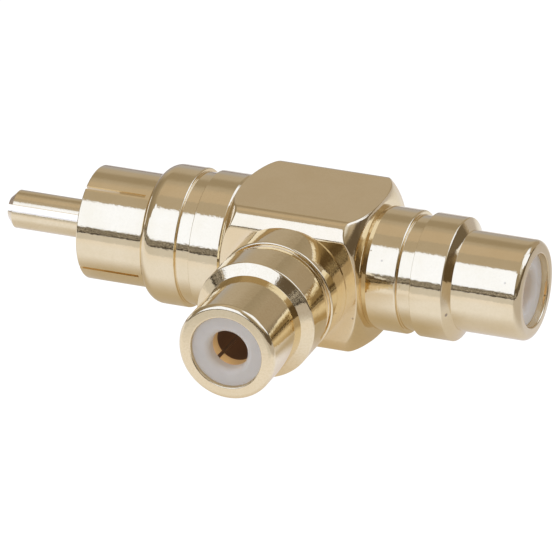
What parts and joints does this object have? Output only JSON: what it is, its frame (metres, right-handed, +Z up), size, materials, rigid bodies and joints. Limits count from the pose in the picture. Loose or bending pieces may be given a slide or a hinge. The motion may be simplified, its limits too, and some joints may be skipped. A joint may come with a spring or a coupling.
{
  "type": "phono tee adapter",
  "caption": "Gold-plated phono tee adapter: slotted plug with a split centre pin on a square brass body, with sockets in line and at its side.",
  "frame": {"origin": "middle of the body's underside, straight below the crossing of the plug's axis and the side socket's axis", "axes": "+X from the plug to the in-line socket, the side socket points along -Y, +Z up; all three axes lie 5.8 mm above the origin"},
  "size_m": [0.0462, 0.0249, 0.0116],
  "materials": {
    "gold_plate": "polished gold plate on turned brass",
    "insulator": "moulded white plastic, slightly translucent",
    "contact": "thin gold plate on turned brass"
  },
  "bodies": {
    "root": {"tee_body": "gold_plate", "plug_shell": "gold_plate", "plug_insulator": "insulator", "plug_pin": "gold_plate", "through_socket_shell": "gold_plate", "through_socket_insulator": "insulator", "through_socket_contact": "contact", "side_socket_shell": "gold_plate", "side_socket_insulator": "insulator", "side_socket_contact": "contact", "junction_hub": "contact"}
  },
  "joints": []
}
